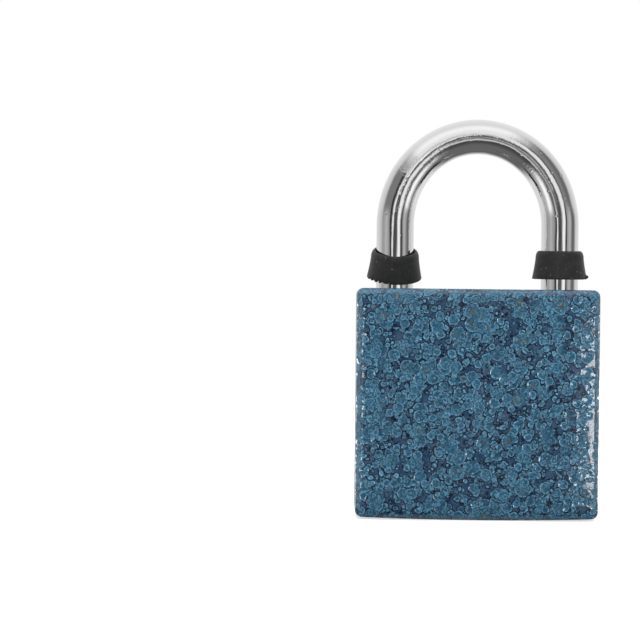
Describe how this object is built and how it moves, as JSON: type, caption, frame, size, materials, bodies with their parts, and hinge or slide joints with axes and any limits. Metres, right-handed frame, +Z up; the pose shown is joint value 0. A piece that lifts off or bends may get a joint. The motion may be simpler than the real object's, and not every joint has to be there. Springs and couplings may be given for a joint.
{
  "type": "padlock",
  "caption": "Square-bodied pin tumbler padlock with a round shackle, keyed from below, with a loose rubber collar on each leg.",
  "frame": {"origin": "centre of the body's bottom face, where the padlock stands", "axes": "+Z up toward the shackle, +X toward the toe leg, -Y out of the front face"},
  "size_m": [0.04, 0.018, 0.0662],
  "materials": {
    "hammered_blue_paint": "glossy blue hammer-finish enamel with darker veins between rounded cells, on cast iron",
    "shackle_chrome": "bright chrome plating with fine scratches",
    "collar_rubber": "matt black rubber with dust and a moulding edge",
    "plug_brass": "machined brass",
    "inner_brass": "turned brass",
    "pin_steel": "turned steel",
    "spring_steel": "drawn spring wire"
  },
  "bodies": {
    "case": {"body": "hammered_blue_paint", "shackle_spring": "spring_steel", "heel_retaining_pin": "pin_steel", "bolt_spring": "spring_steel", "bolt_channel_plug": "pin_steel", "plug_retaining_pin": "pin_steel", "pin_spring_1": "spring_steel", "pin_spring_2": "spring_steel", "pin_spring_3": "spring_steel", "pin_spring_4": "spring_steel", "pin_spring_5": "spring_steel", "chamber_plug_1": "inner_brass", "chamber_plug_2": "inner_brass", "chamber_plug_3": "inner_brass", "chamber_plug_4": "inner_brass", "chamber_plug_5": "inner_brass"},
    "shackle": {"shackle": "shackle_chrome"},
    "collar_left": {"collar_left": "collar_rubber"},
    "collar_right": {"collar_right": "collar_rubber"},
    "bolt": {"bolt": "inner_brass"},
    "plug": {"plug": "plug_brass", "cam_pin": "pin_steel"},
    "key_pin_1": {"key_pin_1": "inner_brass"},
    "key_pin_2": {"key_pin_2": "inner_brass"},
    "key_pin_3": {"key_pin_3": "inner_brass"},
    "key_pin_4": {"key_pin_4": "inner_brass"},
    "key_pin_5": {"key_pin_5": "inner_brass"},
    "driver_pin_1": {"driver_pin_1": "pin_steel"},
    "driver_pin_2": {"driver_pin_2": "pin_steel"},
    "driver_pin_3": {"driver_pin_3": "pin_steel"},
    "driver_pin_4": {"driver_pin_4": "pin_steel"},
    "driver_pin_5": {"driver_pin_5": "pin_steel"}
  },
  "joints": [
    {"name": "plug_turn", "type": "hinge", "parent": "case", "child": "plug", "pos_m": [0, 0, 0.0003], "axis": [0, 0, 1], "range_deg": [0, 90]},
    {"name": "bolt_slide", "type": "slide", "parent": "case", "child": "bolt", "axis": [-1, 0, 0], "range_m": [0, 0.004], "deforming": ["bolt_spring"]},
    {"name": "shackle_lift", "type": "slide", "parent": "case", "child": "shackle", "axis": [0, 0, 1], "range_m": [0, 0.008], "deforming": ["shackle_spring"]},
    {"name": "collar_left_slide", "type": "slide", "parent": "shackle", "child": "collar_left", "axis": [0, 0, 1], "range_m": [-0.0003, 0.0046]},
    {"name": "collar_right_slide", "type": "slide", "parent": "shackle", "child": "collar_right", "axis": [0, 0, 1], "range_m": [-0.0016, 0.0045]},
    {"name": "key_pin_1_drop", "type": "slide", "parent": "plug", "child": "key_pin_1", "axis": [1, 0, 0], "range_m": [-0.0017, 0]},
    {"name": "key_pin_2_drop", "type": "slide", "parent": "plug", "child": "key_pin_2", "axis": [1, 0, 0], "range_m": [-0.0029, 0]},
    {"name": "key_pin_3_drop", "type": "slide", "parent": "plug", "child": "key_pin_3", "axis": [1, 0, 0], "range_m": [-0.0023, 0]},
    {"name": "key_pin_4_drop", "type": "slide", "parent": "plug", "child": "key_pin_4", "axis": [1, 0, 0], "range_m": [-0.0032, 0]},
    {"name": "key_pin_5_drop", "type": "slide", "parent": "plug", "child": "key_pin_5", "axis": [1, 0, 0], "range_m": [-0.002, 0]},
    {"name": "driver_pin_1_slide", "type": "slide", "parent": "case", "child": "driver_pin_1", "axis": [1, 0, 0], "range_m": [0, 0.002], "stiffness_N_per_m": 40, "deforming": ["pin_spring_1"]},
    {"name": "driver_pin_2_slide", "type": "slide", "parent": "case", "child": "driver_pin_2", "axis": [1, 0, 0], "range_m": [0, 0.002], "stiffness_N_per_m": 40, "deforming": ["pin_spring_2"]},
    {"name": "driver_pin_3_slide", "type": "slide", "parent": "case", "child": "driver_pin_3", "axis": [1, 0, 0], "range_m": [0, 0.002], "stiffness_N_per_m": 40, "deforming": ["pin_spring_3"]},
    {"name": "driver_pin_4_slide", "type": "slide", "parent": "case", "child": "driver_pin_4", "axis": [1, 0, 0], "range_m": [0, 0.002], "stiffness_N_per_m": 40, "deforming": ["pin_spring_4"]},
    {"name": "driver_pin_5_slide", "type": "slide", "parent": "case", "child": "driver_pin_5", "axis": [1, 0, 0], "range_m": [0, 0.002], "stiffness_N_per_m": 40, "deforming": ["pin_spring_5"]}
  ],
  "couplings": [
    {"joint": "bolt_slide", "follows": "plug_turn", "m_per_rad": 0.002546},
    {"joint": "shackle_lift", "follows": "plug_turn", "m_per_rad": 0.005092}
  ]
}
